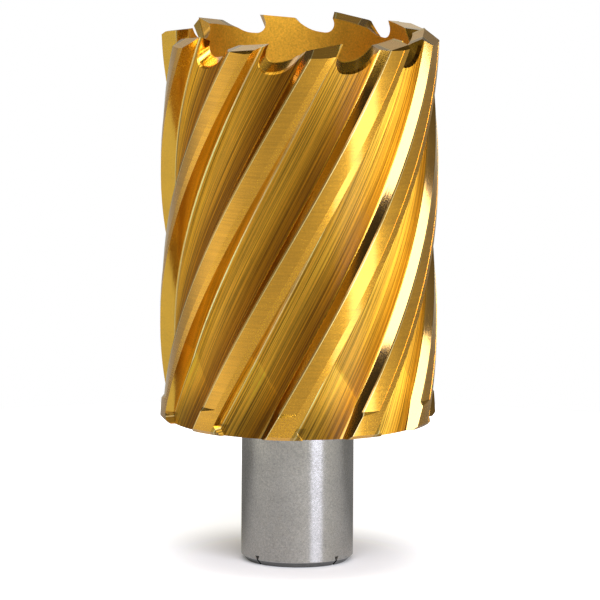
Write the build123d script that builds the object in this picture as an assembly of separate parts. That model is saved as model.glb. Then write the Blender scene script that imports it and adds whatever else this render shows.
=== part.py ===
from build123d import *
from build123d.topology import SkipClean
import os
from math import cos, degrees, radians, sin, tan

# Annular cutter: a steel cup with helical flutes, ten teeth on its rim and a clamping
# shank below. It is one piece. Sizes are millimetres and degrees.
# Z is the cutter's axis, with zero on the end of the shank and the teeth upwards.
# Minus Y is the front, and angles run from plus X, anticlockwise seen from the teeth.

# Overall sizes
cutting_diameter = 47.0
cutting_depth = 55.0
body_length = 66.8
wall_thickness = 4.6

# Shank
shank_diameter = 19.05
shank_length = 24.5
shank_chamfer = 1.0
neck_radius = 0.8
clamp_flat_depth = 1.65
clamp_flat_length = 12.0
clamp_flat_height = 6.5
clamp_flat_angles = (45.0, 135.0)
nick_angles = (-135.0, -45.0)
nick_width = 0.9
nick_depth = 0.45

# Pilot pin hole, cup and shoulder
pilot_pin_diameter = 6.35
pilot_pin_clearance = 0.05
pilot_hole_chamfer = 0.5
core_clearance = 2.0
cup_corner_radius = 2.0
shoulder_chamfer = 0.6

# Helix and lands
tooth_count = 10
helix_angle = 29.7
first_tooth_angle = -93.5
land_width = 4.2
margin_width = 1.3
relief_at_margin = 0.04
relief_at_heel = 0.42
relief_height = 4.5
relief_end_length = 1.5
relief_end_slope = 0.6

# Flutes
flute_depth_at_face = 2.6
flute_depth_at_heel = 2.0
flute_face_run = 0.5
flute_heel_run = 1.35
flute_face_radius = 0.4
flute_heel_radius = 0.7
runout_depth = 1.4
runout_slope = 5.3
runout_reach = 33.4
flute_end_height = 1.7
flute_end_run = 1.2

# Tooth faces and gullets
face_step = 0.97
gullet_lean = 23.0
gullet_depth = 5.1
gullet_floor = 5.7
gullet_face_radius = 1.6
gullet_ramp_radius = 5.4
gullet_ramp_angle = 48.0
gullet_fall = 38.0

# Tooth tops: ridged teeth and flat teeth take turns round the rim
ridge_depth = 2.5
ridge_slope_out = 30.0
ridge_slope_in = 22.0
ridge_relief = 9.5
flat_drop = 0.3
flat_slope = 7.0
flat_relief = 6.5
flat_corner_width = 0.6
flat_corner_slope = 35.0
top_toe_in = 4.0

# How far a tool runs past the surface that it leaves
overrun = 1.0
wide_overrun = 2.0

# Worked-out sizes
outer_radius = cutting_diameter / 2
inner_radius = outer_radius - wall_thickness
ridge_radius = outer_radius - ridge_depth
shank_radius = shank_diameter / 2
clamp_flat_top = clamp_flat_height + clamp_flat_length
pilot_hole_radius = (pilot_pin_diameter + pilot_pin_clearance) / 2
tip_height = shank_length + body_length
cup_floor_height = tip_height - cutting_depth - core_clearance
tooth_pitch = 360.0 / tooth_count
grinding_length = outer_radius * radians(tooth_pitch) - gullet_floor
twist_per_mm = degrees(tan(radians(helix_angle)) / outer_radius)
upright = (Align.CENTER, Align.CENTER, Align.MIN)


def polar(radius, angle):
    return (radius * cos(radians(angle)), radius * sin(radians(angle)))


def angle_of(width, radius):
    return degrees(width / radius)


def around(solid, angles):
    return [Rot(0, 0, angle) * solid for angle in angles]


def twisted(section, start, end):
    rise = end - start
    face = Pos(0, 0, start) * Rot(0, 0, twist_per_mm * (start - shank_length)) * section
    turn = twist_per_mm * rise
    return Solid.extrude_linear_with_rotation(face.face(), (0, 0, start), (0, 0, rise), turn)


def blank():
    # Turned outline of the body and the neck below it, down to the top of the clamping
    # flats, with the cup and the pilot pin hole left solid.
    neck_foot = shank_length - neck_radius
    neck = Polyline((0, clamp_flat_top), (shank_radius, clamp_flat_top), (shank_radius, neck_foot))
    neck_arc = CenterArc((shank_radius + neck_radius, neck_foot), neck_radius, 180, -90)
    body = Polyline(
        (shank_radius + neck_radius, shank_length),
        (outer_radius - shoulder_chamfer, shank_length),
        (outer_radius, shank_length + shoulder_chamfer),
        (outer_radius, tip_height),
        (0, tip_height),
        (0, clamp_flat_top),
    )
    section = make_face(Plane.XZ * Curve([neck, neck_arc, body]))
    return revolve(section, Axis.Z)


def cup():
    # Space inside the wall, with a rounded corner at its floor.
    depth = tip_height + overrun - cup_floor_height
    space = Pos(0, 0, cup_floor_height) * Cylinder(inner_radius, depth, align=upright)
    return fillet(space.edges().sort_by(Axis.Z)[0], cup_corner_radius)


def pilot_hole():
    # Hole through shank and cup floor, opened out a little at both ends.
    wide = pilot_hole_radius + pilot_hole_chamfer
    section = make_face(
        Plane.XZ
        * Polyline(
            (0, -overrun),
            (wide + overrun, -overrun),
            (pilot_hole_radius, pilot_hole_chamfer),
            (pilot_hole_radius, cup_floor_height - pilot_hole_chamfer),
            (wide + overrun, cup_floor_height + overrun),
            (0, cup_floor_height + overrun),
            (0, -overrun),
        )
    )
    return revolve(section, Axis.Z)


def flute_section():
    # Space between one tooth's face, at angle zero, and the next tooth's heel.
    face_radius = outer_radius - flute_depth_at_face
    heel_radius = outer_radius - flute_depth_at_heel
    heel_angle = tooth_pitch - angle_of(land_width, outer_radius)
    face_foot_angle = angle_of(flute_face_run, face_radius)
    heel_foot_angle = heel_angle - angle_of(flute_heel_run, heel_radius)
    middle_radius = (face_radius + heel_radius) / 2
    middle_angle = (face_foot_angle + heel_foot_angle) / 2
    corner = Vector(*polar(outer_radius, 0))
    heel = Vector(*polar(outer_radius, heel_angle))
    face_foot = Vector(*polar(face_radius, face_foot_angle))
    heel_foot = Vector(*polar(heel_radius, heel_foot_angle))
    face_top = corner + (corner - face_foot).normalized() * overrun
    heel_top = heel + (heel - heel_foot).normalized() * overrun
    mouth = polar(outer_radius + wide_overrun, heel_angle / 2)
    floor = ThreePointArc(face_foot, polar(middle_radius, middle_angle), heel_foot)
    walls = Polyline(heel_foot, heel_top, mouth, face_top, face_foot)
    space = make_face(Curve([floor, walls]))
    face_corner = space.vertices().sort_by_distance(face_foot)[0]
    space = fillet(face_corner, flute_face_radius)
    heel_corner = space.vertices().sort_by_distance(heel_foot)[0]
    return fillet(heel_corner, flute_heel_radius)


def relief_section():
    # Thin strip off a land, which gets deeper from the margin to the heel.
    margin = -angle_of(margin_width, outer_radius)
    heel = -angle_of(land_width, outer_radius)
    fall = (relief_at_heel - relief_at_margin) / (heel - margin)
    end = heel - angle_of(overrun, outer_radius)
    low = outer_radius - relief_at_margin
    high = outer_radius + overrun
    middle = (margin + end) / 2
    relieved = ThreePointArc(
        polar(low, margin),
        polar(low - fall * (middle - margin), middle),
        polar(low - fall * (end - margin), end),
    )
    lid = Polyline(relieved @ 1, polar(high, end), polar(high, margin), relieved @ 0)
    return make_face(Curve([relieved, lid]))


def relief_end(height):
    # Where the relief starts, it slopes out and down through the land.
    turn = first_tooth_angle + twist_per_mm * (height - shank_length)
    face = Pos(0, 0, height) * Rot(0, 0, turn) * relief_section()
    across = turn - angle_of(land_width + margin_width, outer_radius) / 2
    lean = radians(helix_angle)
    outward = Vector(*polar(relief_end_slope, across))
    back = Vector(*polar(tan(lean), across - 90))
    return extrude(face, relief_end_length, dir=outward + back + Vector(0, 0, -1))


def runout_core():
    # Turned cone that lifts the flute floors towards the shoulder.
    slope = tan(radians(runout_slope))
    foot_radius = outer_radius - runout_depth + slope * wide_overrun
    height = wide_overrun + runout_reach
    cone = Cone(foot_radius, foot_radius - slope * height, height, align=upright)
    return Pos(0, 0, shank_length - wide_overrun) * cone


def flute_end():
    # Wedge that closes the face side of a flute just above the shoulder.
    lean = tan(radians(helix_angle))
    slope = flute_end_run / flute_end_height
    low = shank_length - overrun
    top = shank_length + flute_end_height
    outline = Polyline(
        (-lean * overrun, low),
        (slope * (top - low) + lean * flute_end_height, low),
        (lean * flute_end_height, top),
        (-lean * overrun, low),
    )
    return extrude(make_face(Plane.YZ * outline), outer_radius + wide_overrun)


def flute():
    low = shank_length - overrun
    high = tip_height + overrun
    start = first_tooth_angle
    void = twisted(Rot(0, 0, start) * flute_section(), low, high)
    relief_low = shank_length + relief_height
    strip = twisted(Rot(0, 0, start) * relief_section(), relief_low, high)
    void -= runout_core() + Rot(0, 0, start) * flute_end()
    return void + strip + relief_end(relief_low)


def gullet():
    # Chip space in front of a tooth at angle zero, milled outwards and down.
    top = tip_height + wide_overrun
    floor = tip_height - gullet_depth
    lean = tan(radians(gullet_lean))
    ramp = tan(radians(gullet_ramp_angle))
    face_foot = face_step - lean * gullet_depth
    ramp_foot = face_foot + gullet_floor
    profile = FilletPolyline(
        (face_step + lean * (top - tip_height), top),
        (face_foot, floor),
        (ramp_foot, floor),
        (ramp_foot + (top - floor) / ramp, top),
        radius=(gullet_face_radius, gullet_ramp_radius),
    )
    lid = Line(profile @ 1, profile @ 0)
    face = Plane.YZ.offset(ridge_radius) * make_face(Curve([profile, lid]))
    fall = tan(radians(gullet_fall))
    along_face = Vector(1, -fall * lean, -fall)
    reach = (wall_thickness + wide_overrun) * along_face.length
    return extrude(face, reach, dir=along_face, both=True)


def top_grinding(points, relief):
    # What a straight pass of the wheel takes off a tooth top: above the given radius and
    # height points, from ahead of the tooth's face to behind its heel.
    high = tip_height + 2 * wide_overrun
    closing = [(points[-1][0], high), (points[0][0], high), points[0]]
    profile = make_face(Plane.XZ * Polyline(*points, *closing))
    toe_in = radians(top_toe_in)
    back = Vector(-sin(toe_in), -cos(toe_in), -tan(radians(relief)))
    return Pos(0, face_step, 0) * extrude(profile, grinding_length, dir=back)


def ridged_top():
    inner = inner_radius - wide_overrun
    outer = outer_radius + wide_overrun
    inner_drop = (ridge_radius - inner) * tan(radians(ridge_slope_in))
    outer_drop = (outer - ridge_radius) * tan(radians(ridge_slope_out))
    points = [
        (inner, tip_height - inner_drop),
        (ridge_radius, tip_height),
        (outer, tip_height - outer_drop),
    ]
    return top_grinding(points, ridge_relief)


def flat_top():
    fall = tan(radians(flat_slope))
    corner_fall = tan(radians(flat_corner_slope))
    inner = inner_radius - wide_overrun
    corner = outer_radius - flat_corner_width
    outer = outer_radius + wide_overrun
    height = tip_height - flat_drop
    corner_height = height - fall * (corner - inner_radius)
    points = [
        (inner, height + fall * (inner_radius - inner)),
        (corner, corner_height),
        (outer, corner_height - corner_fall * (outer - corner)),
    ]
    return top_grinding(points, flat_relief)


def clamp_flat():
    # Flat across the shank for a set screw, facing plus X.
    place = Pos(shank_radius - clamp_flat_depth, 0, clamp_flat_height)
    across = clamp_flat_depth + overrun
    align = (Align.MIN, Align.CENTER, Align.MIN)
    return place * Box(across, shank_diameter, clamp_flat_length, align=align)


def nick():
    # Small V cut down the end chamfer, at plus X.
    slant = Plane(
        origin=(shank_radius - shank_chamfer / 2, 0, shank_chamfer / 2),
        x_dir=(0, 1, 0),
        z_dir=(1, 0, 1),
    )
    half = nick_width / 2
    outline = Polyline((-half, nick_depth), (half, nick_depth), (0, -nick_depth), (-half, nick_depth))
    return extrude(make_face(slant * outline), shank_chamfer + overrun, both=True)


def shank():
    # Shank up to the top of its flats: a full round with a chamfered, nicked end, then the
    # length with the flats.
    foot = Cylinder(shank_radius, clamp_flat_height, align=upright)
    foot = chamfer(foot.edges().sort_by(Axis.Z)[0], shank_chamfer)
    foot -= around(nick(), nick_angles)
    middle = Pos(0, 0, clamp_flat_height) * Cylinder(shank_radius, clamp_flat_length, align=upright)
    middle -= around(clamp_flat(), clamp_flat_angles)
    with SkipClean():
        return foot + middle


def cutter():
    steps = [tooth_pitch * index for index in range(tooth_count)]
    tips = [first_tooth_angle + twist_per_mm * body_length + step for step in steps]
    body = blank() - cup()
    body -= around(flute(), steps)
    body -= around(gullet(), tips)
    body -= around(ridged_top(), tips[0::2]) + around(flat_top(), tips[1::2])
    lower_shank = shank()
    # The shank's wall stays divided at the ends of the flats, so that its full rounds and
    # the round between the flats are walls of their own.
    with SkipClean():
        return body + lower_shank - pilot_hole()


if __name__ == "__main__":
    os.makedirs("parts", exist_ok=True)
    export_step(cutter(), "parts/annular_cutter.step")
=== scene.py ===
from math import acos, atan2, cos, floor, hypot, pi, radians, sin, sqrt, tan

import bpy
from mathutils import Matrix, Vector


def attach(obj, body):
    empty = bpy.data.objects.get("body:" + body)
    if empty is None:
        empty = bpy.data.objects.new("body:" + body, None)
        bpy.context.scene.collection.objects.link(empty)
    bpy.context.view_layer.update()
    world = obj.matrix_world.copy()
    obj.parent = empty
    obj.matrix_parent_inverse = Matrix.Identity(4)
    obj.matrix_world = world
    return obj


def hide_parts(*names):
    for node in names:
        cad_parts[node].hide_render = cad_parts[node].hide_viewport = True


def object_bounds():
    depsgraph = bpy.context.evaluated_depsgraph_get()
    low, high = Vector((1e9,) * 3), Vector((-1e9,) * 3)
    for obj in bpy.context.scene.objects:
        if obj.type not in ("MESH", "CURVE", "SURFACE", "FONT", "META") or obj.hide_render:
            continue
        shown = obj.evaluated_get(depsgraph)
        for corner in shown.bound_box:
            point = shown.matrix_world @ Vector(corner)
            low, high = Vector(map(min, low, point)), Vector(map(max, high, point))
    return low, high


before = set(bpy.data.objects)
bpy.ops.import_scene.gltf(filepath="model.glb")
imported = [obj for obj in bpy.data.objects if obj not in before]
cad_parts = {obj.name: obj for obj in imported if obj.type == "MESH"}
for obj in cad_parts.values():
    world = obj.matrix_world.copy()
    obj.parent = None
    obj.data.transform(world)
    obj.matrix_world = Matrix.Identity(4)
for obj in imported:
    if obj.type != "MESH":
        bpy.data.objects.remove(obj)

bl_info = {
    "name": "Annular Cutter Finish",
    "version": (1, 0, 0),
    "blender": (4, 5, 0),
    "location": "3D View > Sidebar > Cutter",
    "description": "Ground and coated finish of an annular cutter, with its studio",
    "category": "Object",
}

NODE = "annular_cutter"
BODY = "root"

MM = 0.001
CAD_LOW, CAD_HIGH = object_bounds()
OUTER_RADIUS = (CAD_HIGH.x - CAD_LOW.x) / 2


class CutterSizes(bpy.types.PropertyGroup):
    """Sizes of the cutter that its finish follows"""

    shoulder_height: bpy.props.FloatProperty(
        name="Shoulder height", description="Height of the shoulder above the shank's end",
        default=24.5 * MM, unit="LENGTH")
    shank_radius: bpy.props.FloatProperty(
        name="Shank radius", description="Radius of the shank", default=9.525 * MM, unit="LENGTH")
    shank_chamfer: bpy.props.FloatProperty(
        name="Shank chamfer", description="Height of the chamfer at the shank's end",
        default=1.0 * MM, unit="LENGTH")
    pilot_radius: bpy.props.FloatProperty(
        name="Pilot hole radius", description="Radius of the hole for the pilot pin",
        default=3.2 * MM, unit="LENGTH")
    wall: bpy.props.FloatProperty(
        name="Wall", description="Thickness of the cup's wall", default=4.6 * MM, unit="LENGTH")
    tooth_count: bpy.props.IntProperty(
        name="Teeth", description="Number of teeth, flutes and lands", default=10, min=2)
    helix_angle: bpy.props.FloatProperty(
        name="Helix angle", description="Slope of the flutes against the axis",
        default=radians(29.7), subtype="ANGLE")
    first_tooth_angle: bpy.props.FloatProperty(
        name="First tooth", description="Turn of the first tooth's face at the shoulder",
        default=radians(-93.5), subtype="ANGLE")
    land_width: bpy.props.FloatProperty(
        name="Land width", description="Width of a land along the round", default=4.2 * MM, unit="LENGTH")
    margin_width: bpy.props.FloatProperty(
        name="Margin width", description="Width of the margin that isn't relieved",
        default=1.3 * MM, unit="LENGTH")
    relief_height: bpy.props.FloatProperty(
        name="Relief height", description="Height above the shoulder where the relief of the lands starts",
        default=4.5 * MM, unit="LENGTH")
    relief_at_margin: bpy.props.FloatProperty(
        name="Relief at margin", description="Depth of the relief beside the margin",
        default=0.04 * MM, unit="LENGTH")
    relief_at_heel: bpy.props.FloatProperty(
        name="Relief at heel", description="Depth of the relief at the land's heel",
        default=0.42 * MM, unit="LENGTH")
    depth_at_face: bpy.props.FloatProperty(
        name="Depth at face", description="Depth of a flute at the tooth's face",
        default=2.6 * MM, unit="LENGTH")
    depth_at_heel: bpy.props.FloatProperty(
        name="Depth at heel", description="Depth of a flute at the next tooth's heel",
        default=2.0 * MM, unit="LENGTH")
    face_run: bpy.props.FloatProperty(
        name="Face run", description="How far the face wall leans into the flute",
        default=0.5 * MM, unit="LENGTH")
    heel_run: bpy.props.FloatProperty(
        name="Heel run", description="How far the heel wall leans into the flute",
        default=1.35 * MM, unit="LENGTH")
    face_corner: bpy.props.FloatProperty(
        name="Face corner", description="Radius of the corner between floor and face wall",
        default=0.4 * MM, unit="LENGTH")
    heel_corner: bpy.props.FloatProperty(
        name="Heel corner", description="Radius of the corner between floor and heel wall",
        default=0.7 * MM, unit="LENGTH")
    runout_depth: bpy.props.FloatProperty(
        name="Run-out depth", description="Depth of the flutes at the shoulder",
        default=1.4 * MM, unit="LENGTH")
    runout_slope: bpy.props.FloatProperty(
        name="Run-out slope", description="Slope of the flutes' floors above the shoulder",
        default=radians(5.3), subtype="ANGLE")
    smooth_angle: bpy.props.FloatProperty(
        name="Smooth angle", description="Faces that meet at less than this angle are one smooth surface",
        default=radians(18), subtype="ANGLE")
    merge_distance: bpy.props.FloatProperty(
        name="Merge distance", description="Corners of the packed model closer than this are one",
        default=0.001 * MM, unit="LENGTH")
    wall_reach: bpy.props.FloatProperty(
        name="Wall reach", description="A facet whose corners are this near to a wall belongs to it",
        default=0.015 * MM, unit="LENGTH")
    wall_slack: bpy.props.FloatProperty(
        name="Wall slack",
        description="How much further than its reach explains a facet may turn from its wall",
        default=radians(4), subtype="ANGLE")


class CutterFinish(bpy.types.PropertyGroup):
    """Colours, painted shade and highlights, and grain of the cutter's surfaces"""

    coat_colour: bpy.props.FloatVectorProperty(
        name="Coat", description="Colour of the nitride coat", size=3, subtype="COLOR",
        min=0, max=1, default=(0.83, 0.42, 0.022))
    floor_colour: bpy.props.FloatVectorProperty(
        name="Flute floors", description="Colour of the coat on the flutes' ground floors", size=3,
        subtype="COLOR", min=0, max=1, default=(0.77, 0.435, 0.045))
    # Painted shade: the flutes' floors darken to this colour beside the heel walls.
    heel_shaded_floor_colour: bpy.props.FloatVectorProperty(
        name="Deep floors", description="Colour of the flutes' floors beside the heel walls", size=3,
        subtype="COLOR", min=0, max=1, default=(0.40, 0.158, 0.006))
    bore_colour: bpy.props.FloatVectorProperty(
        name="Bore", description="Colour of the coat inside the cup", size=3, subtype="COLOR",
        min=0, max=1, default=(0.82, 0.45, 0.04))
    # Painted highlight: colour of the bright lines along the flutes' edges, which stand in for edge
    # highlights.
    edge_highlight_colour: bpy.props.FloatVectorProperty(
        name="Bright lines", description="Colour of the thin lines at the flutes' edges", size=3,
        subtype="COLOR", min=0, max=1, default=(1.0, 0.84, 0.36))
    steel_colour: bpy.props.FloatVectorProperty(
        name="Steel", description="Colour of the bare ground steel", size=3, subtype="COLOR",
        min=0, max=1, default=(0.54, 0.525, 0.49))
    shade_of_lines: bpy.props.FloatProperty(
        name="Shade of lines", description="How strongly grinding lines and grain shade the surface",
        default=1.5, min=0, max=3)
    darkest_line: bpy.props.FloatProperty(
        name="Darkest line", description="Share of the colour that the darkest line or grain keeps",
        default=0.2, subtype="FACTOR", min=0, max=1)
    flute_lines: bpy.props.FloatProperty(
        name="Flute lines", description="Depth of the grinding lines along the flutes",
        default=0.017 * MM, unit="LENGTH")
    land_lines: bpy.props.FloatProperty(
        name="Land lines", description="Depth of the grinding lines across the lands",
        default=0.010 * MM, unit="LENGTH")
    grain: bpy.props.FloatProperty(
        name="Grain", description="Depth of the fine grain of all surfaces",
        default=0.0016 * MM, unit="LENGTH")
    floor_roughness: bpy.props.FloatProperty(
        name="Floor roughness", description="Roughness of the flutes' ground floors across their lines",
        default=0.46, subtype="FACTOR", min=0, max=1)
    wall_roughness: bpy.props.FloatProperty(
        name="Wall roughness", description="Roughness of the flutes' walls", default=0.13,
        subtype="FACTOR", min=0, max=1)
    rim_roughness: bpy.props.FloatProperty(
        name="Rim roughness", description="Roughness of gullets and flute walls near the rim",
        default=0.26, subtype="FACTOR", min=0, max=1)
    margin_roughness: bpy.props.FloatProperty(
        name="Margin roughness", description="Roughness of the lands' margins", default=0.26,
        subtype="FACTOR", min=0, max=1)
    relief_roughness: bpy.props.FloatProperty(
        name="Relief roughness", description="Roughness of the relieved lands", default=0.24,
        subtype="FACTOR", min=0, max=1)
    # Roughness where the painted highlight lines lie.
    highlight_roughness: bpy.props.FloatProperty(
        name="Line roughness", description="Roughness of the bright lines, where they show in full",
        default=0.4, subtype="FACTOR", min=0, max=1)
    bore_roughness: bpy.props.FloatProperty(
        name="Bore roughness", description="Roughness inside the cup", default=0.5, subtype="FACTOR",
        min=0, max=1)
    steel_roughness: bpy.props.FloatProperty(
        name="Steel roughness", description="Roughness of the bare steel", default=0.2, subtype="FACTOR",
        min=0, max=1)
    film_on_floors: bpy.props.FloatProperty(
        name="Film on floors", description="Clear gloss over the coat on the flutes' floors", default=0.15,
        subtype="FACTOR", min=0, max=1)
    film_on_heels: bpy.props.FloatProperty(
        name="Film on heel walls", description="Clear gloss over the coat on the heel walls", default=1.0,
        subtype="FACTOR", min=0, max=1)
    film_elsewhere: bpy.props.FloatProperty(
        name="Film elsewhere", description="Clear gloss over the rest of the coat", default=0.8,
        subtype="FACTOR", min=0, max=1)
    film_index: bpy.props.FloatProperty(
        name="Film index", description="Refractive index of the clear gloss", default=1.6, min=1, max=4)
    film_roughness: bpy.props.FloatProperty(
        name="Film roughness", description="Roughness of the clear gloss", default=0.14, subtype="FACTOR",
        min=0, max=1)


class CutterStage(bpy.types.PropertyGroup):
    """Camera, lamps and floor"""

    camera_place: bpy.props.FloatVectorProperty(
        name="Camera", description="Place of the camera", size=3, subtype="TRANSLATION",
        default=(0.22 * MM, -1.4712, 0.2926))
    camera_pitch: bpy.props.FloatProperty(
        name="Pitch", description="How far the camera looks down", default=0.167, subtype="ANGLE")
    camera_roll: bpy.props.FloatProperty(
        name="Roll", description="Turn of the camera about its own axis", default=0.0067, subtype="ANGLE")
    lens: bpy.props.FloatProperty(
        name="Lens", description="Focal length on a 36 mm sensor, in millimetres", default=527.4)
    floor_radius: bpy.props.FloatProperty(
        name="Floor", description="Radius of the round table top", default=0.15, unit="LENGTH")
    table_colour: bpy.props.FloatVectorProperty(
        name="Table", description="Colour of the table top", size=3, subtype="COLOR", min=0, max=1,
        default=(0.75, 0.7275, 0.645))
    table_roughness: bpy.props.FloatProperty(
        name="Table gloss", description="Roughness of the table's gloss", default=0.12, subtype="FACTOR",
        min=0, max=1)
    table_index: bpy.props.FloatProperty(
        name="Table index", description="Refractive index behind the table's gloss", default=1.5,
        min=1, max=4)
    dim_behind: bpy.props.FloatProperty(
        name="Dim behind", description="How much darker the cutter sees the table behind it",
        default=0.6, subtype="FACTOR", min=0, max=1)
    room_level: bpy.props.FloatProperty(
        name="Room level", description="Brightness of the room on surfaces that don't mirror it",
        default=0.3, min=0)
    lamp_colour: bpy.props.FloatVectorProperty(
        name="Lamps", description="Colour of the lamps, a little cooler than the room", size=3,
        subtype="COLOR", min=0, soft_max=1, default=(1.0, 1.05, 1.35))
    room_colour: bpy.props.FloatVectorProperty(
        name="Room", description="Colour of the room's light", size=3, subtype="COLOR",
        min=0, soft_max=1, default=(1.0, 0.97, 0.82))
    lamp_distance: bpy.props.FloatProperty(
        name="Lamp distance", description="Distance of the lamps from the cutter", default=0.9,
        unit="LENGTH")


def deselect():
    bpy.ops.object.select_all(action="DESELECT")


def make_active(obj):
    deselect()
    obj.select_set(True)
    bpy.context.view_layer.objects.active = obj


def polar(radius, angle):
    return Vector((radius * cos(angle), radius * sin(angle)))


class TurnedWall:
    """A round wall about the cutter's axis, which may narrow upwards as a cone does."""

    def __init__(self, radius, side=1, fall=0.0, foot=0.0):
        self.radius = radius
        self.side = side
        self.fall = fall
        self.foot = foot

    def gap(self, place, flat):
        return abs(hypot(place.x, place.y) - self.radius + self.fall * (place.z - self.foot))

    def normal(self, place, flat, turn, twist):
        out = Vector((place.x, place.y, 0)).normalized()
        return self.side * (out + Vector((0, 0, self.fall))).normalized()


class HelicalWall:
    """A wall that follows the helix. A child says where its outline runs in the section."""

    def normal(self, place, flat, turn, twist):
        across = Matrix.Rotation(turn, 2) @ self.flat_normal(flat)
        rise = -twist * (place.x * across.y - place.y * across.x)
        return Vector((across.x, across.y, rise)).normalized()


class StraightWall(HelicalWall):
    """A helical wall with a straight outline, which faces a point of the section."""

    radius = OUTER_RADIUS

    def __init__(self, start, end, faces):
        along = (end - start).normalized()
        self.start = start
        self.out = Vector((-along.y, along.x))
        if self.out.dot(faces - start) < 0:
            self.out.negate()

    def gap(self, place, flat):
        return abs((flat - self.start).dot(self.out))

    def flat_normal(self, flat):
        return self.out


class CurvedWall(HelicalWall):
    """A helical wall with an arc as its outline. It faces away from the arc's centre, or to it."""

    def __init__(self, centre, radius, side=1):
        self.centre = centre
        self.radius = radius
        self.side = side

    def gap(self, place, flat):
        return abs((flat - self.centre).length - self.radius)

    def flat_normal(self, flat):
        return self.side * (flat - self.centre).normalized()


def arc_through(first, middle, last):
    """Centre and radius of the circle through three points."""
    a, b = middle - first, last - first
    double_area = 2 * (a.x * b.y - a.y * b.x)
    x = (b.y * a.length_squared - a.y * b.length_squared) / double_area
    y = (a.x * b.length_squared - b.x * a.length_squared) / double_area
    return first + Vector((x, y)), hypot(x, y)


def corner_wall(wall, foot, up, centre, radius, corner):
    """The round corner between a straight wall and the floor's arc."""
    start = foot + wall.out * corner - centre
    reach = radius + corner
    along = start.dot(up)
    step = -along + sqrt(along * along - start.length_squared + reach * reach)
    return CurvedWall(centre + start + up * step, corner, -1)


def cutter_walls(sizes):
    """The cutter's exact walls: turned ones, and the outline of a flute and its land."""
    pitch = 2 * pi / sizes.tooth_count
    face_radius = OUTER_RADIUS - sizes.depth_at_face
    heel_radius = OUTER_RADIUS - sizes.depth_at_heel
    heel_angle = pitch - sizes.land_width / OUTER_RADIUS
    face_foot_angle = sizes.face_run / face_radius
    heel_foot_angle = heel_angle - sizes.heel_run / heel_radius
    face_top = polar(OUTER_RADIUS, 0)
    heel_top = polar(OUTER_RADIUS, heel_angle)
    face_foot = polar(face_radius, face_foot_angle)
    heel_foot = polar(heel_radius, heel_foot_angle)
    floor_middle = polar((face_radius + heel_radius) / 2, (face_foot_angle + heel_foot_angle) / 2)
    centre, radius = arc_through(face_foot, floor_middle, heel_foot)
    mouth = polar(OUTER_RADIUS, heel_angle / 2)
    face = StraightWall(face_foot, face_top, mouth)
    heel = StraightWall(heel_foot, heel_top, mouth)
    face_up = (face_top - face_foot).normalized()
    heel_up = (heel_top - heel_foot).normalized()

    margin_angle = -sizes.margin_width / OUTER_RADIUS
    land_angle = -sizes.land_width / OUTER_RADIUS
    relief_low = OUTER_RADIUS - sizes.relief_at_margin
    heel_low = OUTER_RADIUS - sizes.relief_at_heel
    middle_low = (relief_low + heel_low) / 2
    relief_arc = arc_through(
        polar(relief_low, margin_angle),
        polar(middle_low, (margin_angle + land_angle) / 2),
        polar(heel_low, land_angle))
    shoulder = sizes.shoulder_height
    return (
        TurnedWall(OUTER_RADIUS),
        TurnedWall(OUTER_RADIUS - sizes.wall, side=-1),
        TurnedWall(sizes.shank_radius),
        TurnedWall(sizes.pilot_radius, side=-1),
        TurnedWall(OUTER_RADIUS - sizes.runout_depth, fall=tan(sizes.runout_slope), foot=shoulder),
        CurvedWall(centre, radius),
        face,
        heel,
        corner_wall(face, face_foot, face_up, centre, radius, sizes.face_corner),
        corner_wall(heel, heel_foot, heel_up, centre, radius, sizes.heel_corner),
        CurvedWall(*relief_arc),
    )


def set_true_normals(mesh, sizes):
    """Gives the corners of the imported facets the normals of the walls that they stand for."""
    walls = cutter_walls(sizes)
    pitch = 2 * pi / sizes.tooth_count
    twist = tan(sizes.helix_angle) / OUTER_RADIUS
    land_angle = sizes.land_width / OUTER_RADIUS
    normals = [Vector(corner.vector) for corner in mesh.corner_normals]
    for face in mesh.polygons:
        middle = face.center
        angle = atan2(middle.y, middle.x) - sizes.first_tooth_angle + land_angle
        angle -= twist * (middle.z - sizes.shoulder_height)
        step = pitch * floor(angle / pitch)
        corners = []
        for index in face.vertices:
            place = mesh.vertices[index].co
            turn = sizes.first_tooth_angle + twist * (place.z - sizes.shoulder_height) + step
            corners.append((place, Matrix.Rotation(-turn, 2) @ place.xy, turn))
        gaps = [max(wall.gap(place, flat) for place, flat, turn in corners) for wall in walls]
        nearest = min(gaps)
        if nearest > sizes.wall_reach:
            continue
        wall = walls[gaps.index(nearest)]
        exact = [wall.normal(place, flat, turn, twist) for place, flat, turn in corners]
        bend = acos(1 - 2 * sizes.wall_reach / wall.radius) + sizes.wall_slack
        if min(normal.dot(face.normal) for normal in exact) < cos(bend):
            continue
        for loop, normal in zip(face.loop_indices, exact):
            normals[loop] = normal
    mesh.normals_split_custom_set(normals)


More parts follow.
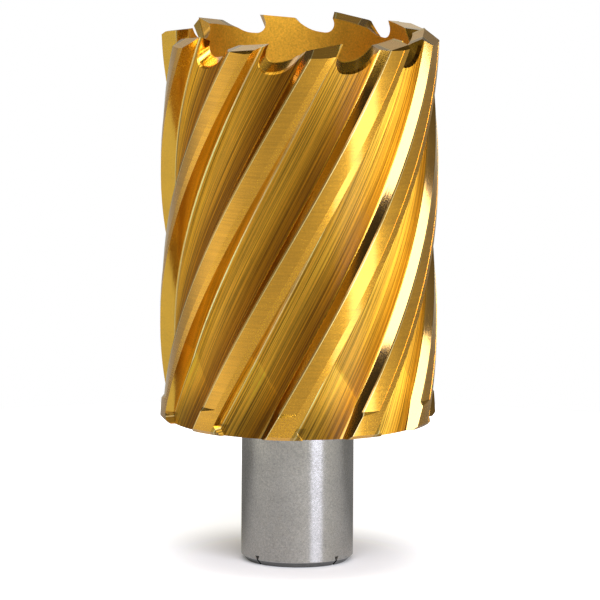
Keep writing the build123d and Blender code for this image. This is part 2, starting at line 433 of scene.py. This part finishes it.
class Nodes:
    """Short calls for building one tree of shader nodes."""

    def __init__(self, tree):
        self.tree = tree
        tree.nodes.clear()

    def add(self, kind, **settings):
        node = self.tree.nodes.new(kind)
        for name, value in settings.items():
            setattr(node, name, value)
        return node

    def link(self, source, target):
        if isinstance(source, (int, float)):
            target.default_value = source
        else:
            self.tree.links.new(source, target)

    def math(self, operation, *values, clamp=False):
        node = self.add("ShaderNodeMath", operation=operation, use_clamp=clamp)
        for value, socket in zip(values, node.inputs):
            self.link(value, socket)
        return node.outputs[0]

    def times(self, *values):
        total = values[0]
        for value in values[1:]:
            total = self.math("MULTIPLY", total, value)
        return total

    def plus(self, *values):
        total = values[0]
        for value in values[1:]:
            total = self.math("ADD", total, value)
        return total

    def step(self, value, start, end, low=0.0, high=1.0):
        """low before start, high after end, and smooth between them."""
        node = self.add("ShaderNodeMapRange", interpolation_type="SMOOTHSTEP")
        self.link(value, node.inputs["Value"])
        node.inputs["From Min"].default_value = start
        node.inputs["From Max"].default_value = end
        node.inputs["To Min"].default_value = low
        node.inputs["To Max"].default_value = high
        return node.outputs["Result"]

    def combine(self, x, y, z):
        node = self.add("ShaderNodeCombineXYZ")
        for value, socket in zip((x, y, z), node.inputs):
            self.link(value, socket)
        return node.outputs[0]

    def apart(self, vector):
        node = self.add("ShaderNodeSeparateXYZ")
        self.link(vector, node.inputs[0])
        return node.outputs

    def noise(self, vector, scale, detail=2.0, roughness=0.5):
        """Noise about zero, from about -0.5 to 0.5."""
        node = self.add("ShaderNodeTexNoise")
        self.link(vector, node.inputs["Vector"])
        node.inputs["Scale"].default_value = scale
        node.inputs["Detail"].default_value = detail
        node.inputs["Roughness"].default_value = roughness
        return self.math("SUBTRACT", node.outputs["Fac"], 0.5)

    def mix(self, factor, a, b):
        """Value between a and b."""
        node = self.add("ShaderNodeMix", data_type="FLOAT")
        self.link(factor, node.inputs[0])
        self.link(a, node.inputs[2])
        self.link(b, node.inputs[3])
        return node.outputs[0]

    def blend(self, factor, a, b, kind="MIX"):
        """Colour between a and b."""
        node = self.add("ShaderNodeMix", data_type="RGBA", blend_type=kind)
        self.link(factor, node.inputs[0])
        for value, socket in ((a, node.inputs[6]), (b, node.inputs[7])):
            if isinstance(value, tuple):
                socket.default_value = (*value, 1)
            else:
                self.tree.links.new(value, socket)
        return node.outputs[2]


# Where the parts of a flute lie, as shares of a tooth's pitch, which start at the tooth's face.
# Each pair says where a part is still absent and where it is full.
FACE_WALL = (0.045, 0.03)
# Where the painted highlight line at the foot of the face wall starts and ends.
FOOT_HIGHLIGHT_START = (0.036, 0.042)
FOOT_HIGHLIGHT_END = (0.06, 0.052)
FLOOR_START = (0.03, 0.05)
FLOOR_END = (0.63, 0.6)
HEEL_WALL = (0.61, 0.64)
LOW_CORNER = (0.14, 0.12)

# Shares of the pitch too: half the blur at the edges of land and relief, and how far from the land's
# start the painted highlight line at the heel lies.
LAND_EDGE = 0.004
HEEL_HIGHLIGHT = (0.013, 0.007)
# How strongly the painted highlight lines show.
HIGHLIGHT_STRENGTH = 0.85

# The finish of one part turns into the next over about this length.
BLUR = 0.1 * MM

# Down from the shoulder, down from the rim, out from the run-out's cone and up from the shoulder.
# Each pair says where a part is still absent and where it is full.
COAT_BELOW_SHOULDER = 0.5 * MM
RIM_HEIGHTS = (8.0 * MM, 6.5 * MM)
RUNOUT_GAPS = (0.06 * MM, 0.02 * MM)
FLUTE_END_HEIGHTS = (2.0 * MM, 1.8 * MM)


class CutterParts:
    """Shader values that say where the parts of the cutter's surface are, each from 0 to 1."""

    def __init__(self, n, sizes):
        self.place = n.add("ShaderNodeTexCoord").outputs["Object"]
        self.x, self.y, self.z = n.apart(self.place)
        self.radius = n.math("SQRT", n.plus(n.times(self.x, self.x), n.times(self.y, self.y)))
        self.above = n.math("SUBTRACT", self.z, sizes.shoulder_height)
        twist = n.times(self.above, tan(sizes.helix_angle) / OUTER_RADIUS)
        untwist = n.add("ShaderNodeVectorRotate", rotation_type="Z_AXIS")
        n.link(self.place, untwist.inputs["Vector"])
        n.link(n.times(twist, -1.0), untwist.inputs["Angle"])
        self.straight = n.apart(untwist.outputs[0])

        pitch = 2 * pi / sizes.tooth_count
        angle = n.math("ARCTAN2", self.straight[1], self.straight[0])
        turn = n.math("SUBTRACT", angle, sizes.first_tooth_angle)
        self.share = n.math("FRACT", n.math("DIVIDE", turn, pitch))
        land_start = 1 - sizes.land_width / OUTER_RADIUS / pitch
        margin_start = 1 - sizes.margin_width / OUTER_RADIUS / pitch
        self.mark_lands(n, sizes, land_start, margin_start)
        self.mark_flutes(n, sizes, land_start)

    def mark_lands(self, n, sizes, land_start, margin_start):
        bore_radius = OUTER_RADIUS - sizes.wall
        self.outside = n.step(self.radius, bore_radius + BLUR, bore_radius + 2 * BLUR)
        before_land = n.step(self.share, land_start + LAND_EDGE, land_start - LAND_EDGE)
        self.in_flute = n.times(self.outside, before_land)
        self.on_land = n.math("SUBTRACT", self.outside, self.in_flute, clamp=True)
        relief_low = sizes.shoulder_height + sizes.relief_height
        self.relieved = n.times(
            self.on_land,
            n.step(self.share, margin_start + LAND_EDGE, margin_start - LAND_EDGE),
            n.step(self.z, relief_low - BLUR, relief_low))
        coat_low = sizes.shoulder_height - COAT_BELOW_SHOULDER
        self.coated = n.step(self.z, coat_low - BLUR, coat_low)

    def mark_flutes(self, n, sizes, land_start):
        floor_radius = OUTER_RADIUS - sizes.depth_at_face
        self.on_floor = n.times(
            n.step(self.radius, floor_radius - 2.5 * BLUR, floor_radius - BLUR),
            n.step(self.share, *FLOOR_START),
            n.step(self.share, *FLOOR_END))
        self.at_face = n.times(self.outside, n.step(self.share, *FACE_WALL))
        self.at_heel = n.times(self.in_flute, n.step(self.share, *HEEL_WALL))
        # Painted highlight lines: one at the foot of the face wall, one along the land's heel.
        foot_highlight = n.times(
            self.outside, n.step(self.share, *FOOT_HIGHLIGHT_START), n.step(self.share, *FOOT_HIGHLIGHT_END))
        heel_highlight = n.times(self.on_land, n.step(self.share, *(land_start + end for end in HEEL_HIGHLIGHT)))
        self.painted_edge_highlight = n.times(n.plus(foot_highlight, heel_highlight), HIGHLIGHT_STRENGTH)
        self.at_rim = n.step(self.z, *(CAD_HIGH.z - height for height in RIM_HEIGHTS))

        # The run-out is a cone that narrows upwards, so its gap to the surface is zero on it.
        fall = n.times(self.above, tan(sizes.runout_slope))
        gap = n.math("SUBTRACT", n.plus(self.radius, fall), OUTER_RADIUS - sizes.runout_depth)
        self.on_runout = n.times(self.on_floor, n.step(gap, *RUNOUT_GAPS))
        # The flutes' low ends beside their faces, which get painted shade.
        end_heights = (sizes.shoulder_height + height for height in FLUTE_END_HEIGHTS)
        self.flute_end = n.times(
            self.outside, n.step(self.share, *LOW_CORNER), n.step(self.z, *end_heights))


# Noise by its scale per metre, its detail and its roughness.
FINE_LINES = (4200.0, 1.0, 0.5)
WIDE_LINES = (1200.0, 2.0, 0.6)
CROSS_LINES = (2800.0, 1.0, 0.6)
GRAIN = (3200.0, 2.0, 0.7)
BLOTCHES = (260.0, 3.0, 0.5)

# A line is noise that hardly changes along it: this share of its place counts there.
SHARE_ALONG_FLUTES = 0.012
SHARE_ROUND_AXIS = 0.03


class CutterMarks:
    """Lines, grain and blotches of the ground surface, each about zero."""

    def __init__(self, n, parts):
        level = n.math("DIVIDE", OUTER_RADIUS, parts.radius)
        straight_x, straight_y, straight_z = parts.straight
        along = n.combine(
            n.times(straight_x, level), n.times(straight_y, level), n.times(straight_z, SHARE_ALONG_FLUTES))
        fine_lines = n.noise(along, *FINE_LINES)
        wide_lines = n.noise(along, *WIDE_LINES)
        self.lines = n.plus(n.times(fine_lines, 1.6), n.times(wide_lines, 0.2))
        across = n.combine(
            n.times(parts.x, SHARE_ROUND_AXIS), n.times(parts.y, SHARE_ROUND_AXIS), parts.z)
        self.cross_lines = n.noise(across, *CROSS_LINES)
        self.grain = n.noise(parts.place, *GRAIN)
        self.blotches = n.noise(parts.place, *BLOTCHES)


def cutter_bump(n, finish, parts, marks):
    """Lines along the flutes, deep on floors and faint on walls, and lines across the lands."""
    on_walls = 0.25
    beside_relief = 0.25
    height = n.plus(
        n.times(marks.lines, parts.in_flute, n.mix(parts.on_floor, on_walls, 1.0), finish.flute_lines),
        n.times(marks.cross_lines, n.mix(parts.relieved, beside_relief, 1.0), finish.land_lines),
        n.times(marks.grain, finish.grain))
    bump = n.add("ShaderNodeBump")
    bump.inputs["Strength"].default_value = 1.0
    bump.inputs["Distance"].default_value = 1.0
    n.link(height, bump.inputs["Height"])
    return bump.outputs[0]


def cutter_shade(n, sizes, finish, parts, marks):
    """How bright the colour is: lines and grain, and painted shade and highlight on heel walls, face walls,
    the shank's chamfer, the run-out and the flutes' low ends.
    """
    grain_weight = n.mix(parts.outside, 0.6, n.mix(parts.coated, 0.1, 0.25))
    total = n.plus(
        n.times(marks.lines, parts.on_floor, 1.1),
        n.times(marks.cross_lines, parts.on_land, 0.22),
        n.times(marks.grain, grain_weight),
        n.times(marks.blotches, 0.15))
    shade = n.math("MAXIMUM", n.plus(1.0, n.times(total, finish.shade_of_lines)), finish.darkest_line)
    chamfer = sizes.shank_chamfer
    # Painted shade and highlight: the run-out is darker at its foot and lighter higher up.
    runout_painted_light = n.step(parts.above, 1.0 * MM, 10.0 * MM, 0.65, 1.3)
    return n.times(
        shade,
        # Painted shade: the heel walls are darker.
        n.mix(parts.at_heel, 1.0, 0.46),
        # Painted light: the face walls are a touch darker, to match how they reflect.
        n.mix(parts.at_face, 1.0, 0.95),
        # Painted shade: the chamfer at the shank's end is dark.
        n.step(parts.z, 0.8 * chamfer, chamfer, 0.3, 1.0),
        n.mix(parts.on_runout, 1.0, runout_painted_light),
        # Painted shade: the flutes' low ends are darker.
        n.mix(parts.flute_end, 1.0, 0.6))


def cutter_colour(n, sizes, finish, parts, marks):
    """Coat and bare steel, with painted highlight lines at the flutes' edges. Towards a flute's heel its
    floor loses blue first, then green and red, as painted shade.
    """
    red, green, blue = zip(finish.floor_colour, finish.heel_shaded_floor_colour)
    # Painted shade: the floor's colour darkens from floor_colour at the face towards the heel wall.
    floors = n.combine(
        n.step(parts.share, 0.15, 0.62, *red),
        n.step(parts.share, 0.13, 0.6, *green),
        n.step(parts.share, 0.1, 0.55, *blue))
    coat = n.blend(parts.outside, tuple(finish.bore_colour), tuple(finish.coat_colour))
    coat = n.blend(parts.on_floor, coat, floors)
    # Painted highlight: the bright lines take a paler colour.
    coat = n.blend(parts.painted_edge_highlight, coat, tuple(finish.edge_highlight_colour))
    colour = n.blend(parts.coated, tuple(finish.steel_colour), coat)
    shade = cutter_shade(n, sizes, finish, parts, marks)
    # Painted reflection tint: the face walls' green is raised, so they look yellower, as their reflected
    # highlights do.
    yellower = n.times(shade, n.mix(parts.at_face, 1.0, 1.15))
    return n.blend(1.0, colour, n.combine(shade, yellower, shade), "MULTIPLY")


def cutter_roughness(n, finish, parts, marks):
    walls = n.mix(parts.at_rim, finish.wall_roughness, finish.rim_roughness)
    flutes = n.mix(parts.on_floor, walls, finish.floor_roughness)
    lands = n.mix(parts.relieved, finish.margin_roughness, finish.relief_roughness)
    roughness = n.mix(parts.in_flute, lands, flutes)
    roughness = n.mix(parts.painted_edge_highlight, roughness, finish.highlight_roughness)
    roughness = n.mix(parts.outside, finish.bore_roughness, roughness)
    roughness = n.mix(parts.coated, finish.steel_roughness, roughness)
    return n.plus(roughness, n.times(marks.grain, 0.15), n.times(marks.blotches, 0.06))


def cutter_material(sizes, finish):
    """Coated and bare steel. The flutes' floors reflect wide across their grinding lines."""
    material = bpy.data.materials.new("coated_and_ground_steel")
    material.use_nodes = True
    n = Nodes(material.node_tree)
    parts = CutterParts(n, sizes)
    marks = CutterMarks(n, parts)
    shader = n.add("ShaderNodeBsdfPrincipled")
    shader.inputs["Metallic"].default_value = 1.0
    n.link(cutter_colour(n, sizes, finish, parts, marks), shader.inputs["Base Color"])
    n.link(cutter_roughness(n, finish, parts, marks), shader.inputs["Roughness"])

    film = n.mix(parts.at_heel, finish.film_elsewhere, finish.film_on_heels)
    film = n.times(parts.coated, n.mix(parts.on_floor, film, finish.film_on_floors))
    n.link(film, shader.inputs["Coat Weight"])
    shader.inputs["Coat IOR"].default_value = finish.film_index
    shader.inputs["Coat Roughness"].default_value = finish.film_roughness

    groove = n.combine(
        n.times(parts.y, -1 / OUTER_RADIUS),
        n.times(parts.x, 1 / OUTER_RADIUS),
        1 / tan(sizes.helix_angle))
    n.link(groove, shader.inputs["Tangent"])
    n.link(parts.on_floor, shader.inputs["Anisotropic"])
    shader.inputs["Anisotropic Rotation"].default_value = 0.25

    bump = cutter_bump(n, finish, parts, marks)
    n.link(bump, shader.inputs["Normal"])
    n.link(bump, shader.inputs["Coat Normal"])
    out = n.add("ShaderNodeOutputMaterial")
    n.link(shader.outputs[0], out.inputs["Surface"])
    return material


def floor_material(stage):
    """Pale table top. It glows to the camera, least near the cutter, which paints a soft shade round its
    foot, and more towards its rim, so it ends in white.
    """
    material = bpy.data.materials.new("pale_floor")
    material.use_nodes = True
    n = Nodes(material.node_tree)
    rays = n.add("ShaderNodeLightPath")
    seen = rays.outputs["Is Camera Ray"]
    x, y, z = n.apart(n.add("ShaderNodeTexCoord").outputs["Object"])
    behind = n.times(rays.outputs["Is Glossy Ray"], n.step(y, -0.01, 0.04))
    dim = n.math("SUBTRACT", 1.0, n.times(behind, stage.dim_behind))
    diffuse = n.add("ShaderNodeBsdfDiffuse")
    n.link(n.combine(*(n.times(dim, level) for level in stage.table_colour)), diffuse.inputs["Color"])
    gloss = n.add("ShaderNodeBsdfGlossy")
    gloss.inputs["Roughness"].default_value = stage.table_roughness
    fresnel = n.add("ShaderNodeFresnel")
    fresnel.inputs["IOR"].default_value = stage.table_index
    sheen = n.add("ShaderNodeMixShader")
    n.link(n.times(fresnel.outputs[0], dim, n.math("SUBTRACT", 1.0, seen)), sheen.inputs[0])
    n.link(diffuse.outputs[0], sheen.inputs[1])
    n.link(gloss.outputs[0], sheen.inputs[2])

    reach = n.math("SQRT", n.plus(n.times(x, x), n.times(y, y)))
    reach = n.math("DIVIDE", reach, stage.floor_radius)
    # The weak glow near the cutter leaves a painted grey shade round its foot, besides the real shadow.
    shown = n.plus(n.step(reach, 0.07, 0.24, 0.1, 0.75), n.step(reach, 0.4, 0.9, 0.0, 0.5))
    glow = n.add("ShaderNodeEmission")
    glow.inputs["Color"].default_value = (1, 1, 1, 1)
    n.link(n.times(seen, shown), glow.inputs["Strength"])
    total = n.add("ShaderNodeAddShader")
    n.link(sheen.outputs[0], total.inputs[0])
    n.link(glow.outputs[0], total.inputs[1])
    out = n.add("ShaderNodeOutputMaterial")
    n.link(total.outputs[0], out.inputs["Surface"])
    return material


class CUTTER_OT_finish_body(bpy.types.Operator):
    """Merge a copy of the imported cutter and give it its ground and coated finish"""

    bl_idname = "cutter.finish_body"
    bl_label = "Finish Cutter"

    def execute(self, context):
        scene = context.scene
        sizes = scene.cutter_sizes
        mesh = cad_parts[NODE].data.copy()
        mesh.name = "ground_cutter"
        piece = bpy.data.objects.new("ground_cutter", mesh)
        scene.collection.objects.link(piece)
        make_active(piece)
        bpy.ops.object.mode_set(mode="EDIT")
        bpy.ops.mesh.select_all(action="SELECT")
        bpy.ops.mesh.customdata_custom_splitnormals_clear()
        bpy.ops.mesh.remove_doubles(threshold=sizes.merge_distance)
        bpy.ops.object.mode_set(mode="OBJECT")
        bpy.ops.object.shade_smooth_by_angle(angle=sizes.smooth_angle)
        set_true_normals(mesh, sizes)
        mesh.materials.clear()
        mesh.materials.append(cutter_material(sizes, scene.cutter_finish))
        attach(piece, BODY)
        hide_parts(NODE)
        return {"FINISHED"}


# Brightness of the studio that mirrors see, by the side in degrees: 0 is the camera's side, 90 its
# right, and the white backdrop is straight behind. First at the table's level, then above it.
TABLE_SIDES = (
    (-180, 0.45), (-166, 0.45), (-152, 0.38), (-138, 0.34), (-120, 0.42), (-104, 0.80), (-90, 1.05),
    (-78, 1.0), (-62, 0.74), (-46, 0.60), (-30, 0.56), (-14, 0.54), (2, 0.58), (18, 0.72),
    (60, 0.72), (80, 0.46), (104, 0.38), (128, 0.27), (148, 0.27), (162, 0.5), (170, 0.8), (180, 0.7),
)
UPPER_SIDES = (
    (-180, 0.7), (-165, 0.5), (-152, 0.3), (-135, 0.15), (-60, 0.13), (-40, 0.18), (-20, 0.26),
    (0, 0.38), (20, 0.55), (50, 0.65), (70, 0.55), (88, 0.3), (110, 0.18), (150, 0.16), (165, 0.3),
    (172, 0.6), (180, 0.7),
)


class CUTTER_OT_set_stage(bpy.types.Operator):
    """Set up the floor, the studio light and the camera"""

    bl_idname = "cutter.set_stage"
    bl_label = "Set Stage"

    def execute(self, context):
        scene = context.scene
        stage = scene.cutter_stage
        scene.view_settings.view_transform = "Standard"
        deselect()
        bpy.ops.mesh.primitive_circle_add(vertices=96, radius=stage.floor_radius, fill_type="NGON")
        table = context.active_object
        table.name = "studio_floor"
        table.data.materials.append(floor_material(stage))
        self.world(scene, stage)
        self.lamp("front_box", stage, side=12, height=36, width=62, length=24, brightness=8.0, tilt=-14)
        self.lamp("right_strip", stage, side=40, height=0, width=24, length=28, brightness=2.1)
        self.lamp("back_box", stage, side=-138, height=28, width=26, length=30, brightness=0.8)
        self.camera(scene, stage)
        return {"FINISHED"}

    def lamp(self, name, stage, side, height, width, length, brightness, tilt=0):
        """A soft box, placed and sized by the angles that the cutter sees it at, in degrees."""
        centre = Vector((0, 0, CAD_HIGH.z / 2))
        side, height = radians(side), radians(height)
        out = Vector((sin(side) * cos(height), -cos(side) * cos(height), sin(height)))
        lamp = bpy.data.lights.new(name, "AREA")
        lamp.shape = "RECTANGLE"
        lamp.size = 2 * stage.lamp_distance * tan(radians(width / 2))
        lamp.size_y = 2 * stage.lamp_distance * tan(radians(length / 2))
        lamp.energy = pi * lamp.size * lamp.size_y * brightness
        lamp.color = stage.lamp_colour
        obj = bpy.data.objects.new(name, lamp)
        obj.location = centre + out * stage.lamp_distance
        aim = (-out).to_track_quat("-Z", "Y").to_matrix()
        obj.rotation_euler = (aim @ Matrix.Rotation(radians(tilt), 3, "Z")).to_euler()
        obj.visible_camera = False
        bpy.context.scene.collection.objects.link(obj)

    def world(self, scene, stage):
        world = bpy.data.worlds.new("studio")
        scene.world = world
        world.use_nodes = True
        n = Nodes(world.node_tree)
        rays = n.add("ShaderNodeLightPath")
        x, y, z = n.apart(n.add("ShaderNodeTexCoord").outputs["Generated"])
        side = n.math("ARCTAN2", x, n.times(y, -1.0))
        share = n.plus(n.math("DIVIDE", side, 2 * pi), 0.5)
        darker_upwards = n.step(z, 0.25, 0.75, 1.0, 0.3)
        above = n.times(self.sides(n, share, UPPER_SIDES), darker_upwards)
        over_horizon = n.step(z, -0.02, 0.12)
        reflected = n.mix(over_horizon, self.sides(n, share, TABLE_SIDES), above)
        light = n.add("ShaderNodeBackground")
        colour = n.blend(rays.outputs["Is Camera Ray"], tuple(stage.room_colour), (1.0, 1.0, 1.0))
        n.link(colour, light.inputs["Color"])
        other = n.mix(rays.outputs["Is Glossy Ray"], stage.room_level, reflected)
        n.link(n.mix(rays.outputs["Is Camera Ray"], other, 1.0), light.inputs["Strength"])
        out = n.add("ShaderNodeOutputWorld")
        n.link(light.outputs[0], out.inputs["Surface"])

    def sides(self, n, share, values):
        """Brightness by the side, read off a ramp that goes once round."""
        ramp = n.add("ShaderNodeValToRGB")
        n.link(share, ramp.inputs[0])
        stops = ramp.color_ramp.elements
        while len(stops) < len(values):
            stops.new(0.5)
        for stop, (angle, value) in zip(stops, values):
            stop.position = angle / 360 + 0.5
            stop.color = (value, value, value, 1)
        return ramp.outputs[0]

    def camera(self, scene, stage):
        data = bpy.data.cameras.new("photo_camera")
        data.lens = stage.lens
        data.sensor_width = 36.0
        data.clip_start, data.clip_end = 0.1, 20.0
        camera = bpy.data.objects.new("photo_camera", data)
        camera.location = stage.camera_place
        camera.rotation_mode = "ZYX"
        camera.rotation_euler = (pi / 2 - stage.camera_pitch, 0, stage.camera_roll)
        scene.collection.objects.link(camera)
        scene.camera = camera


class CUTTER_PT_panel(bpy.types.Panel):
    """Lists the cutter's steps in the sidebar"""

    bl_idname = "CUTTER_PT_panel"
    bl_label = "Annular Cutter"
    bl_space_type = "VIEW_3D"
    bl_region_type = "UI"
    bl_category = "Cutter"

    def draw(self, context):
        for operator in OPERATORS:
            self.layout.operator(operator.bl_idname)


OPERATORS = (CUTTER_OT_finish_body, CUTTER_OT_set_stage)
GROUPS = {"cutter_sizes": CutterSizes, "cutter_finish": CutterFinish, "cutter_stage": CutterStage}


def register():
    for group in GROUPS.values():
        bpy.utils.register_class(group)
    for operator in OPERATORS:
        bpy.utils.register_class(operator)
    bpy.utils.register_class(CUTTER_PT_panel)
    for name, group in GROUPS.items():
        setattr(bpy.types.Scene, name, bpy.props.PointerProperty(type=group))


def unregister():
    for name in GROUPS:
        delattr(bpy.types.Scene, name)
    bpy.utils.unregister_class(CUTTER_PT_panel)
    for operator in reversed(OPERATORS):
        bpy.utils.unregister_class(operator)
    for group in GROUPS.values():
        bpy.utils.unregister_class(group)


def main():
    register()
    bpy.ops.cutter.finish_body()
    bpy.ops.cutter.set_stage()


if __name__ == "__main__":
    main()
